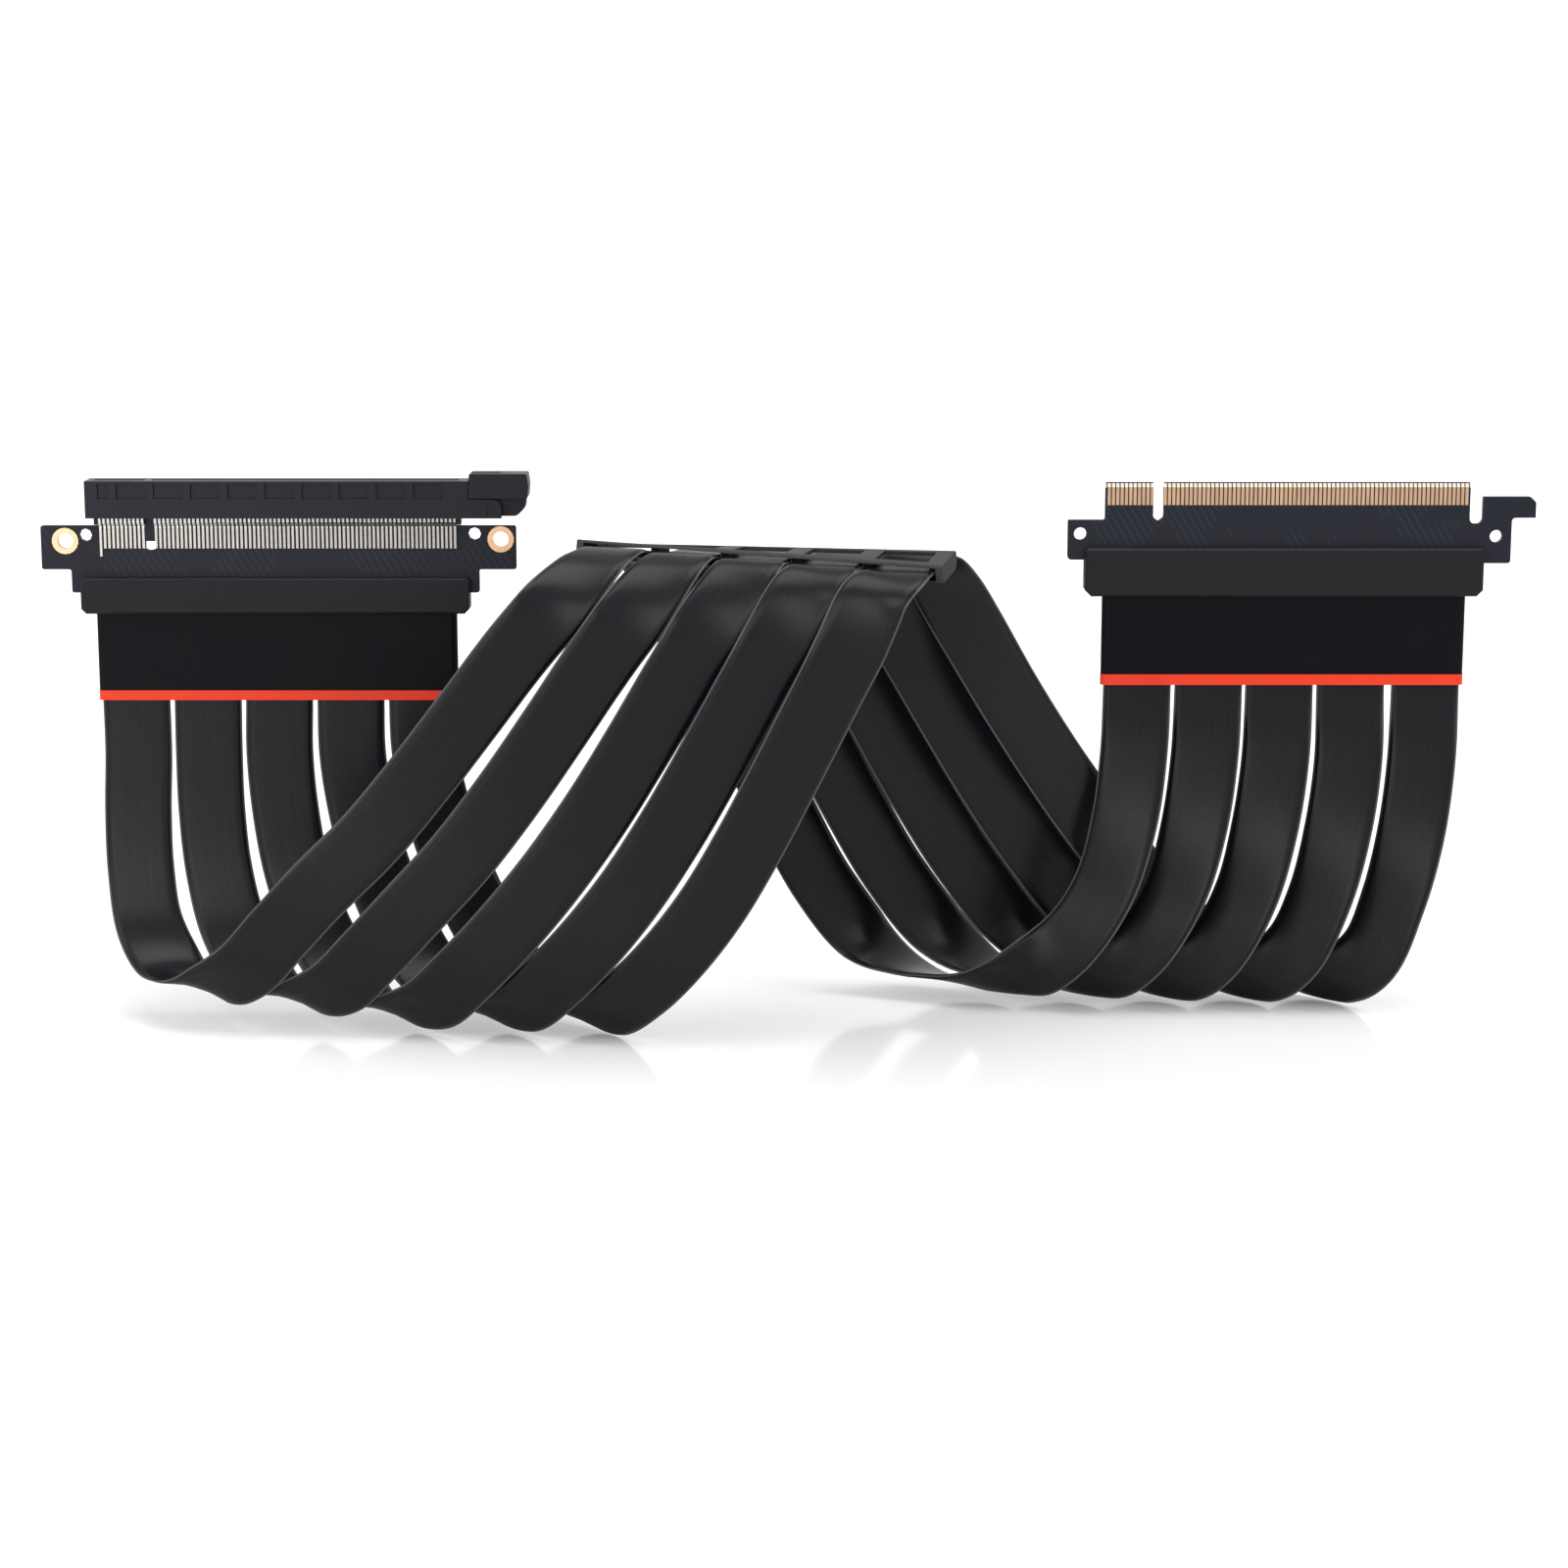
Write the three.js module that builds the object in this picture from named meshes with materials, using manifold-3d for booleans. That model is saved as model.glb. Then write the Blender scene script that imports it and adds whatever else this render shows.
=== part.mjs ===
// A riser cable: a slot on a small board, five flat strands that make one turn together, and a card edge.
// Millimetres, +Z up, the slot end on the left, the near side of the cable towards -Y.
import * as THREE from "three";
import { mergeVertices } from "three/addons/utils/BufferGeometryUtils.js";
import Module from "manifold-3d";

const wasm = await Module();
wasm.setup();

// driving dimensions
const ORIGIN = [0.575, 16.41, 0.09]; // from the sketch frame to the middle of the foot of the whole cable
const FIT = 0.3; // air between pieces that would otherwise rub
const SOLDER = 0.03; // film between a lead and its board

// contacts, the same row at both ends
const CONTACTS = 82;
const CONTACT_PITCH = 1.0;
const CONTACTS_BEFORE_KEY = 11;
const KEY_STEP = 3.0; // centre to centre across the key
const ROW = (CONTACTS - 2) * CONTACT_PITCH + KEY_STEP; // first contact to last
const BOARD = 1.6; // thickness of both boards

// slot, on the female board
const F_CONTACT_X = -160.85;
const F_LAST_X = F_CONTACT_X + ROW;
const SLOT = { left: F_CONTACT_X - 2.95, right: F_LAST_X + 3.35, bottom: 118.2, height: 8.7, half: 3.8 };

// female board
const FEMALE_Y = 3.0;
const F_EAR = { left: SLOT.left - 11.2, right: SLOT.right + 10.9, top: 116.2, bottom: 105.9 };
const F_FOOT = { left: SLOT.left - 4.3, right: SLOT.right + 2.15, bottom: 100.4 };
const F_RINGS = [[F_EAR.left + 5.7, F_EAR.top - 3.6], [F_EAR.right - 3.6, F_EAR.top - 3.2]];
const F_HOLES = [[F_EAR.left + 10.55, F_EAR.top - 2.2], [F_EAR.right - 9.7, F_EAR.top - 1.9]];
const HOLE_R = 1.5;
const RING = { bore: 1.85, barrel: 2.05, hole: 2.3, flange: 3.1, proud: 0.12 };

// mouth, pockets, leads and key of the slot
const MOUTH = { half: 1.0, flare: 1.7, flareDepth: 0.8, floorThick: 1.4, endRoom: 1.0 };
const KEY_HALF = 0.85;
const POCKET = { belowTop: 0.6, height: 3.5, depth: 0.6, first: 3.0, firstWidth: 2.7, start: 7.4, width: 6.9,
  endPlain: 5.8, count: 9 };
const SPINE = { endRoom: 1.45, half: 1.5, bottom: F_EAR.top + FIT };
// the leads lie on the board from a little below its top edge; the first stands on a longer pad
const LEAD = { width: 0.55, reach: 5.3, firstReach: 7.2, kneeDrop: 0.2, shoulderRise: 1.0, thick: 0.35, out: 2.15 };
const PEG = { half: 1.0, reach: 3.7, thick: 1.2 };
const PEG_NOTCH = { half: 1.55, depth: 5.8 };

// latch lever and the fork it turns in
const PIVOT = { x: SLOT.right + 5.5, z: SLOT.bottom + 2.1, boss: 0.9, bossReach: 3.0, holeReach: 3.3 };
const FORK = { inner: 2.4, radius: 2.3 };
const FORK_RIB = { left: SLOT.right + 3.0, width: 1.5, height: 3.7, proud: 0.25 };
// the lever's outline is measured from its pivot
const LEVER = { web: 2.1, left: -4.6, foot: -1.7, footRight: 5.8, rise: 0.3, webRight: 7.8, headLeft: -5.2,
  headRight: 8.4, headHeight: 5.7, groove: 1.1, grooveRight: 2.0, grooveFloor: 1.9 };

// strands
const STRAND_WIDTH = 15.9;
const STRAND_THICK = 1.4;
const STRAND_PITCH = 16.9;
const STRAND_STEPS = 46;
const F_STRAND_X = -120.2; // middle strand
const M_STRAND_X = [82.05, 98.8, 115.4, 132.1, 149.65];
const F_STRANDS = [F_STRAND_X - 2 * STRAND_PITCH - STRAND_WIDTH / 2, F_STRAND_X + 2 * STRAND_PITCH + STRAND_WIDTH / 2];
const M_STRANDS = [M_STRAND_X[0] - STRAND_WIDTH / 2, M_STRAND_X[4] + STRAND_WIDTH / 2];

// covers, sleeves and stripes
const F_COVER = { left: F_STRANDS[0] - 3.85, right: F_STRANDS[1] + 3.8, bottom: 95.6, height: 8.45, chamfer: 0.9 };
const M_COVER = { left: M_STRANDS[0] - 4.9, right: M_STRANDS[1] + 4.3, bottom: 100.55, height: 11.25, chamfer: 1.2 };
const COVER_HALF = 3.0;
const COVER_BEVEL = 0.45;
const POCKET_AIR = 0.1;
const F_SLEEVE = 18.4, F_STRIPE = 2.3, M_SLEEVE = 18.55, M_STRIPE = 2.5; // lengths down the strands
const SLEEVE_WALL = 0.45;
const SLEEVE_AIR = 0.25;
const STRIPE_PROUD = 0.08;

// male board
const MALE_Y = -3.0;
const M_CONTACT_X = 74.65;
const M_BOTTOM = 104.7;
const CARD = { endRoom: 0.85, keyHalf: 1.2, keyDepth: 9.1, slotWidth: 3.05, slotDepth: 9.7 };
const EAR = { left: 65.2, top: 118.2, bottom: 108.9, footLeft: 69.9, footRight: 162.2 };
const HOOK = { drop: 3.4, neck: 6.8, reach: 5.5, height: 4.9, bottom: 108.1, chamfer: 1.3 };
const M_HOLES = [[68.1, 115.0], [164.8, 114.4]];
const FINGER = { width: 0.7, height: 4.0, belowBevel: 0.1, proud: 0.06 };
const EDGE = { rise: 8.8, bevel: 1.2, half: 0.35 };

// comb
const COMB = { centre: [-5.3, -30.0, 112.4], turn: 20, twist: [-9.0, 10.5], pitch: 16.85, depth: 10.6,
  slot: 1.32, upper: 0.9, lower: 0.6, endWall: 1.85, sideAir: 0.22, window: 12.3, windowDepth: 6.6,
  nose: 1.2, leadIn: -2.4, leadSide: 0.2, leadHeight: 0.2 };

// route of the strands: middles of strands 1, 3 and 5, chosen by hand; 2 and 4 lie half way
const DOWN = [
  [[-154, 3, 62], [-154.5, 2.5, 48], [-154, 0.5, 34], [-151.5, -4, 21.5], [-145, -11, 13], [-136, -19.5, 10.5],
    [-126, -26.5, 16], [-117, -30, 26], [-107, -32.5, 37], [-95, -34, 49], [-83, -35.5, 63.5], [-71.5, -37, 78.5],
    [-60.5, -38, 93], [-51, -37.5, 104], [-43.7, -32.2, 111.6]],
  [[-120.5, 3, 62], [-119.5, 2.5, 48.5], [-117, 1, 34.5], [-112, -3.5, 21.5], [-104, -11, 10.5], [-94, -20, 5.5],
    [-83.5, -28, 8], [-74.5, -33, 16.5], [-64.5, -36, 27.5], [-54, -38, 40.5], [-43.5, -39.5, 55.5],
    [-34, -41.5, 71], [-25, -43.5, 86.5], [-17.5, -44.5, 99], [-11, -41.5, 108.8]],
  [[-86, 3, 62], [-83.5, 3, 49], [-79, 1.5, 35.5], [-72.5, -2.5, 22.5], [-64, -9.5, 11.5], [-54.5, -18, 5.5],
    [-44, -27.5, 5.5], [-35, -34, 12.5], [-26, -38.5, 22.5], [-17, -41.5, 35], [-8.5, -44, 50], [-0.5, -47, 66],
    [7, -50, 81.5], [13.5, -52.5, 95], [19, -52.7, 106.8]],
];
const UP = [
  [[-31, -6, 107.5], [-26.5, -1, 98.5], [-20, 3, 86], [-11, 8, 68.5], [-1, 13.5, 46], [9, 17.5, 26.5],
    [20, 18.5, 12.5], [32, 14.5, 6], [45, 7, 5], [57, -1, 9.5], [67, -4.5, 18], [75, -5.5, 31], [79.5, -5, 47],
    [81.5, -4, 63]],
  [[0, -17, 110.5], [4.5, -10.5, 102.5], [11.5, -5.5, 90.5], [21, 0, 72.5], [32, 6, 52], [43.5, 12, 33],
    [55.5, 15, 17.5], [68.5, 14, 8], [82, 8, 4.5], [93.5, 1, 7.5], [102, -4, 16], [108.5, -5.5, 29],
    [112.5, -5.5, 45], [114.8, -4.5, 62]],
  [[31.5, -27.5, 112], [36, -21.5, 105], [43, -16, 93], [52.5, -9.5, 76.5], [64.5, -2.5, 57.5], [78, 5.5, 38.5],
    [91.5, 11.5, 22], [105, 13, 10.5], [118.5, 9.5, 4.5], [130.5, 2, 6.5], [138.5, -3.5, 14], [143.5, -5.5, 28],
    [147, -6, 44], [149, -5, 61]],
];
const COMB_STATIONS = [-9, -3.5, 3, 8.5];
const F_END_Z = [F_FOOT.bottom - FIT, 76];
const M_END_Z = [79, M_BOTTOM - FIT];
// direction of a strand's width at stations along the route; "comb" is the comb's own line
const WIDTH_GUIDE = [[0, [1, 0, 0]], [3.5, [1, 0, 0]], [8, [0.95, -0.05, -0.36]], [10.5, [0.95, -0.05, -0.36]],
  [13.4, [1, 0.02, -0.02]], [14.3, [1, 0.02, 0]], [16.6, "comb"], [20, "comb"], [24, [0.92, 0.36, 0]], [28.5, [0.93, 0.3, -0.25]],
  [31.5, [0.8, -0.5, -0.4]], [34, [1, -0.2, 0]], [35, [1, 0, 0]], [36, [1, 0, 0]]];

// helpers
const radians = THREE.MathUtils.degToRad;

function solid(geometry) {
  const flat = geometry.index ? geometry.toNonIndexed() : geometry;
  const bare = new THREE.BufferGeometry().setAttribute("position", flat.getAttribute("position"));
  const merged = mergeVertices(bare, 1e-4);
  return new wasm.Manifold(new wasm.Mesh({
    numProp: 3, vertProperties: merged.attributes.position.array, triVerts: new Uint32Array(merged.index.array),
  }));
}

function geometryOf(body) {
  const m = body.getMesh();
  const geometry = new THREE.BufferGeometry();
  geometry.setAttribute("position", new THREE.BufferAttribute(new Float32Array(m.vertProperties), 3));
  geometry.setIndex(new THREE.BufferAttribute(new Uint32Array(m.triVerts), 1));
  const sharp = geometry.toNonIndexed();
  sharp.computeVertexNormals();
  return sharp;
}

const add = (bodies) => bodies.reduce((a, b) => a.add(b));
const cut = (body, tools) => tools.reduce((a, b) => a.subtract(b), body);

// a box from its two corners
function box(x0, x1, y0, y1, z0, z1) {
  return solid(new THREE.BoxGeometry(x1 - x0, y1 - y0, z1 - z0)
    .translate((x0 + x1) / 2, (y0 + y1) / 2, (z0 + z1) / 2));
}

// an outline in X and Z, carried from y0 to y1
function plate(shape, y0, y1, curveSegments = 6) {
  const geometry = new THREE.ExtrudeGeometry(shape, { depth: y1 - y0, bevelEnabled: false, curveSegments });
  return geometry.rotateX(Math.PI / 2).translate(0, y1, 0);
}

// an outline in Y and Z, carried from x0 to x1
function bar(points, x0, x1) {
  const shape = new THREE.Shape(points.map(([y, z]) => new THREE.Vector2(-z, y)));
  const geometry = new THREE.ExtrudeGeometry(shape, { depth: x1 - x0, bevelEnabled: false });
  return solid(geometry.rotateY(Math.PI / 2).translate(x0, 0, 0));
}

// a closed outline with its corners rounded: each point is [x, z] or [x, z, radius]
function outline(points) {
  const shape = new THREE.Shape();
  const at = (i) => new THREE.Vector2(...points[(i + points.length) % points.length].slice(0, 2));
  points.forEach(([x, z, r = 0], i) => {
    const here = new THREE.Vector2(x, z);
    const before = here.clone().add(at(i - 1).sub(here).setLength(r));
    const after = here.clone().add(at(i + 1).sub(here).setLength(r));
    if (i === 0) shape.moveTo(before.x, before.y);
    else shape.lineTo(before.x, before.y);
    if (r) shape.quadraticCurveTo(here.x, here.y, after.x, after.y);
  });
  shape.closePath();
  return shape;
}

function drill(shape, x, z, r) {
  shape.holes.push(new THREE.Path().absarc(x, z, r, 0, 2 * Math.PI, true));
}

function contactX(first, i) {
  return first + i * CONTACT_PITCH + (i >= CONTACTS_BEFORE_KEY ? KEY_STEP - CONTACT_PITCH : 0);
}
const keyX = (first) => contactX(first, CONTACTS_BEFORE_KEY) - KEY_STEP / 2;

const root = new THREE.Group();
root.name = "gpu_riser_cable";
const cable = new THREE.Group();
cable.position.set(...ORIGIN);
root.add(cable);

function place(name, geometry, color, y = 0, roughness = 0.6, metalness = 0) {
  const mesh = new THREE.Mesh(geometry, new THREE.MeshStandardMaterial({ color, roughness, metalness }));
  mesh.name = name;
  mesh.position.y = y;
  cable.add(mesh);
}

// female board
function femaleBoard() {
  const key = keyX(F_CONTACT_X);
  const { left, right, top, bottom } = F_EAR;
  const r = 0.6;
  const shape = outline([
    [left, top, r], [left, bottom, r], [F_FOOT.left, bottom, r], [F_FOOT.left, F_FOOT.bottom, r],
    [F_FOOT.right, F_FOOT.bottom, r], [F_FOOT.right, bottom, r], [right, bottom, r], [right, top, r],
    [key + PEG_NOTCH.half, top], [key + PEG_NOTCH.half, top - PEG_NOTCH.depth, PEG_NOTCH.half * 0.99],
    [key - PEG_NOTCH.half, top - PEG_NOTCH.depth, PEG_NOTCH.half * 0.99], [key - PEG_NOTCH.half, top],
  ]);
  F_RINGS.forEach(([x, z]) => drill(shape, x, z, RING.hole));
  F_HOLES.forEach(([x, z]) => drill(shape, x, z, HOLE_R));
  return plate(shape, -BOARD / 2, BOARD / 2, 4);
}

function platedRing([x, z]) {
  const face = BOARD / 2, skin = face + RING.proud;
  const section = [[RING.bore, -skin], [RING.flange, -skin], [RING.flange, -face - SOLDER],
    [RING.barrel, -face - SOLDER], [RING.barrel, face + SOLDER], [RING.flange, face + SOLDER],
    [RING.flange, skin], [RING.bore, skin], [RING.bore, -skin]];
  return new THREE.LatheGeometry(section.map(([a, b]) => new THREE.Vector2(a, b)), 18).translate(x, 0, z);
}

// slot
function slotHousing() {
  const { left, right, bottom, height, half } = SLOT, top = bottom + height;
  const key = keyX(F_CONTACT_X);
  const forkShape = outline([[right - 1, bottom], [PIVOT.x + FORK.radius, bottom],
    [PIVOT.x + FORK.radius, PIVOT.z + FORK.radius, FORK.radius], [right - 1, PIVOT.z + FORK.radius]]);
  const ribTop = bottom + FORK_RIB.height, ribOut = half + FORK_RIB.proud;
  const parts = [
    box(left, right, -half, half, bottom, top),
    solid(plate(forkShape, -half, -FORK.inner)), solid(plate(forkShape, FORK.inner, half)),
    box(FORK_RIB.left, FORK_RIB.left + FORK_RIB.width, -ribOut, -half + FIT, bottom, ribTop),
    box(FORK_RIB.left, FORK_RIB.left + FORK_RIB.width, half - FIT, ribOut, bottom, ribTop),
    box(F_CONTACT_X - SPINE.endRoom, key - PEG.half, -SPINE.half, SPINE.half, SPINE.bottom, bottom + 1),
    box(key + PEG.half, F_LAST_X + SPINE.endRoom, -SPINE.half, SPINE.half, SPINE.bottom, bottom + 1),
    box(key - PEG.half, key + PEG.half, -PEG.thick / 2, PEG.thick / 2, F_EAR.top - PEG.reach, bottom + 1),
  ];
  const floor = bottom + MOUTH.floorThick;
  const mouthProfile = [[-MOUTH.half, floor], [MOUTH.half, floor],
    [MOUTH.half, top - MOUTH.flareDepth], [MOUTH.flare, top + 0.01], [-MOUTH.flare, top + 0.01],
    [-MOUTH.half, top - MOUTH.flareDepth]];
  const tools = [
    bar(mouthProfile, F_CONTACT_X - MOUTH.endRoom, key - KEY_HALF),
    bar(mouthProfile, key + KEY_HALF, F_LAST_X + MOUTH.endRoom),
  ];
  const pockets = [[left + POCKET.first, POCKET.firstWidth]], start = left + POCKET.start;
  const pocketPitch = (right - POCKET.endPlain - POCKET.width - start) / (POCKET.count - 1);
  for (let i = 0; i < POCKET.count; i++) pockets.push([start + i * pocketPitch, POCKET.width]);
  const pocketTop = top - POCKET.belowTop, pocketFloor = pocketTop - POCKET.height;
  for (const [x, w] of pockets) {
    tools.push(box(x, x + w, -half - 1, -half + POCKET.depth, pocketFloor, pocketTop));
    tools.push(box(x, x + w, half - POCKET.depth, half + 1, pocketFloor, pocketTop));
  }
  for (const s of [-1, 1]) {
    const hole = new THREE.CylinderGeometry(PIVOT.boss + FIT, PIVOT.boss + FIT, PIVOT.holeReach, 16)
      .translate(PIVOT.x, s * PIVOT.holeReach / 2, PIVOT.z);
    tools.push(solid(hole));
  }
  const inner = BOARD / 2 + SOLDER, outer = inner + LEAD.thick;
  const leads = [];
  for (let i = 0; i < CONTACTS; i++) {
    const x = contactX(F_CONTACT_X, i), foot = F_EAR.top - (i === 0 ? LEAD.firstReach : LEAD.reach);
    for (const s of [-1, 1]) {
      const side = [[inner, foot], [outer, foot], [outer, F_EAR.top - LEAD.kneeDrop], [LEAD.out, F_EAR.top + LEAD.shoulderRise],
        [LEAD.out, bottom + 0.2], [inner, bottom + 0.2]].map(([y, z]) => [s * y, z]);
      if (s < 0) side.reverse();
      leads.push(bar(side, x - LEAD.width / 2, x + LEAD.width / 2));
    }
  }
  return geometryOf(cut(add(parts), tools).add(add(leads)));
}

// latch
function slotLatch() {
  const { web, left, foot, footRight, rise, webRight, headLeft, headRight, headHeight, groove } = LEVER;
  const { grooveRight, grooveFloor } = LEVER;
  const headBottom = FORK.radius + FIT, top = headBottom + headHeight, overlap = 1;
  const webShape = outline([[left, foot, 0.4], [footRight, foot, 0.8], [webRight, rise, 0.8],
    [webRight + FIT, headBottom + overlap], [left, headBottom + overlap]]);
  const headShape = outline([[headLeft, headBottom], [headRight, headBottom, 0.3],
    [headRight + FIT, top - headHeight / 2, 0.3], [headRight - 0.1, top, 0.5], [headLeft, top, 0.5]]);
  const parts = [solid(plate(webShape, -web, web)), solid(plate(headShape, -SLOT.half, SLOT.half))];
  for (const s of [-1, 1]) {
    const boss = new THREE.CylinderGeometry(PIVOT.boss, PIVOT.boss, PIVOT.bossReach, 16)
      .translate(0, s * PIVOT.bossReach / 2, 0);
    parts.push(solid(boss));
  }
  const tools = [box(headLeft - 1, grooveRight, -groove, groove, grooveFloor, top + 1)];
  return geometryOf(cut(add(parts), tools)).translate(PIVOT.x, 0, PIVOT.z);
}

// covers: a moulding split at the middle plane of its board
function coverHalf(cover, boardBox, strandsBox, front) {
  const { left, right, bottom, height, chamfer: c } = cover, top = bottom + height;
  const b = COVER_BEVEL, e = 0.4;
  const shape = new THREE.Shape([[left + b, bottom + b + c], [left + b + c, bottom + b],
    [right - b - c, bottom + b], [right - b, bottom + b + c], [right - b, top - b - e], [right - b - e, top - b],
    [left + b + e, top - b], [left + b, top - b - e]].map(([x, z]) => new THREE.Vector2(x, z)));
  const full = new THREE.ExtrudeGeometry(shape, { depth: 2 * (COVER_HALF - b), bevelThickness: b, bevelSize: b,
    bevelSegments: 1 });
  full.rotateX(Math.PI / 2).translate(0, COVER_HALF - b, 0);
  const far = COVER_HALF + 1;
  const tools = [front ? box(left - 1, right + 1, 0, far, bottom - 1, top + 1)
    : box(left - 1, right + 1, -far, 0, bottom - 1, top + 1), box(...boardBox), box(...strandsBox)];
  return geometryOf(cut(solid(full), tools));
}

const slack = BOARD / 2 + POCKET_AIR;
const strandSlack = STRAND_THICK / 2 + SLEEVE_AIR;

function femaleCover(front) {
  const foot = F_FOOT.bottom - POCKET_AIR;
  return coverHalf(F_COVER, [F_COVER.left - 1, F_COVER.right + 1, -slack, slack, foot, F_COVER.bottom + F_COVER.height + 1],
    [F_STRANDS[0] - SLEEVE_AIR, F_STRANDS[1] + SLEEVE_AIR, -strandSlack, strandSlack, F_COVER.bottom - 1, foot + 1],
    front);
}

function maleCover(front) {
  const foot = M_BOTTOM - POCKET_AIR;
  return coverHalf(M_COVER, [M_COVER.left - 1, M_COVER.right + 1, -slack, slack, foot,
    M_COVER.bottom + M_COVER.height + 1],
    [M_STRANDS[0] - SLEEVE_AIR, M_STRANDS[1] + SLEEVE_AIR, -strandSlack, strandSlack, M_COVER.bottom - 1, foot + 1],
    front);
}

// a flat band round all five strands
function band([x0, x1], z0, z1, proud) {
  const gap = SLEEVE_AIR, wall = gap + SLEEVE_WALL + proud, half = STRAND_THICK / 2;
  const outer = new THREE.Shape();
  const inner = new THREE.Path();
  const oval = (path, grow, clockwise) => {
    const r = half + grow;
    const a = x0 - grow + r, b = x1 + grow - r;
    path.absarc(clockwise ? a : b, 0, r, clockwise ? -Math.PI / 2 : -Math.PI / 2, Math.PI / 2, clockwise);
    path.absarc(clockwise ? b : a, 0, r, Math.PI / 2, clockwise ? -Math.PI / 2 : 1.5 * Math.PI, clockwise);
    path.closePath();
  };
  oval(outer, wall, false);
  oval(inner, gap, true);
  outer.holes.push(inner);
  return new THREE.ExtrudeGeometry(outer, { depth: z1 - z0, bevelEnabled: false, curveSegments: 5 })
    .translate(0, 0, z0);
}

// male board
function maleBoard() {
  const edgeTop = EAR.top + EDGE.rise, bevelFoot = edgeTop - EDGE.bevel;
  const key = keyX(M_CONTACT_X), w = CARD.keyHalf, keyFloor = edgeTop - CARD.keyDepth;
  const slotFloor = edgeTop - CARD.slotDepth;
  const left = M_CONTACT_X - CARD.endRoom, right = M_CONTACT_X + ROW + CARD.endRoom;
  const hookLeft = right + CARD.slotWidth, hookTop = edgeTop - HOOK.drop;
  const neck = hookLeft + HOOK.neck, tip = neck + HOOK.reach, hookFloor = hookTop - HOOK.height;
  const shape = outline([
    [left, edgeTop, 0.5], [left, EAR.top, 0.6], [EAR.left, EAR.top, 0.4], [EAR.left, EAR.bottom, 1.0],
    [EAR.footLeft, EAR.bottom], [EAR.footLeft, M_BOTTOM, 0.6], [EAR.footRight, M_BOTTOM, 0.6],
    [EAR.footRight, HOOK.bottom], [neck, HOOK.bottom, 0.8], [neck, hookFloor, 1.0], [tip, hookFloor, 0.3],
    [tip, hookTop - HOOK.chamfer, 0.3], [tip - HOOK.chamfer, hookTop, 0.3], [hookLeft, hookTop, 0.3],
    [hookLeft, slotFloor, 1.5], [right, slotFloor, 1.5], [right, edgeTop, 0.5],
    [key + w, edgeTop], [key + w, keyFloor + 1, 0.3], [key, keyFloor, 0.5], [key - w, keyFloor + 1, 0.3],
    [key - w, edgeTop],
  ]);
  M_HOLES.forEach(([x, z]) => drill(shape, x, z, HOLE_R));
  const h = BOARD / 2, far = h + 1;
  const slope = (h - EDGE.half) / EDGE.bevel;
  const over = 1;
  const wedge = (s) => {
    const points = [[h, bevelFoot], [far, bevelFoot], [far, edgeTop + over],
      [EDGE.half - slope * over, edgeTop + over]].map(([y, z]) => [s * y, z]);
    return bar(s < 0 ? points.reverse() : points, left - CARD.endRoom, right + CARD.endRoom);
  };
  const blank = cut(solid(plate(shape, -h, h)), [wedge(1), wedge(-1)]);
  const p = FINGER.proud, fingerTop = bevelFoot - FINGER.belowBevel;
  const fingers = [];
  for (let i = 0; i < CONTACTS; i++) {
    const x = contactX(M_CONTACT_X, i), w = FINGER.width / 2;
    fingers.push(box(x - w, x + w, -h - p, h + p, fingerTop - FINGER.height, fingerTop));
  }
  return geometryOf(blank.add(add(fingers)));
}

// strands
const combLine = new THREE.Vector3(Math.cos(radians(COMB.turn)), -Math.sin(radians(COMB.turn)), 0);

// the comb's depth direction at a place along it, -1 at strand 1 and 1 at strand 5
function combDepth(along) {
  const [a, b] = COMB.twist;
  const pitch = radians(a + (b - a) * (along + 1) / 2), turn = radians(COMB.turn);
  return new THREE.Vector3(Math.sin(turn) * Math.cos(pitch), Math.cos(turn) * Math.cos(pitch), Math.sin(pitch));
}

function combPoint(i, s) {
  return new THREE.Vector3(...COMB.centre).addScaledVector(combLine, (i - 2) * COMB.pitch)
    .addScaledVector(combDepth((i - 2) / 2), s);
}

class StrandCurve extends THREE.CatmullRomCurve3 {
  computeFrenetFrames(segments) {
    const tangents = [], normals = [], binormals = [];
    for (let k = 0; k <= segments; k++) {
      const u = k / segments;
      const tangent = this.getTangentAt(u);
      const guide = widthGuide(this.getUtoTmapping(u) * (this.points.length - 1));
      const across = guide.addScaledVector(tangent, -guide.dot(tangent)).normalize();
      tangents.push(tangent);
      normals.push(new THREE.Vector3().crossVectors(across, tangent));
      binormals.push(across);
    }
    return { tangents, normals, binormals };
  }
}

function widthGuide(station) {
  const vector = (v) => (v === "comb" ? combLine.clone() : new THREE.Vector3(...v).normalize());
  for (let k = 1; k < WIDTH_GUIDE.length; k++) {
    const [s0, g0] = WIDTH_GUIDE[k - 1], [s1, g1] = WIDTH_GUIDE[k];
    if (station <= s1) return vector(g0).lerp(vector(g1), THREE.MathUtils.smoothstep(station, s0, s1)).normalize();
  }
  return vector(WIDTH_GUIDE[WIDTH_GUIDE.length - 1][1]);
}

function strandRoute(i) {
  const half = (lists) => {
    const a = lists[Math.floor(i / 2)], b = lists[Math.ceil(i / 2)];
    return a.map((p, k) => new THREE.Vector3(...p).lerp(new THREE.Vector3(...b[k]), 0.5));
  };
  const x = F_STRAND_X + (i - 2) * STRAND_PITCH;
  return [
    ...F_END_Z.map((z) => new THREE.Vector3(x, FEMALE_Y, z)), ...half(DOWN),
    ...COMB_STATIONS.map((s) => combPoint(i, s)),
    ...half(UP), ...M_END_Z.map((z) => new THREE.Vector3(M_STRAND_X[i], MALE_Y, z)),
  ];
}

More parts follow.
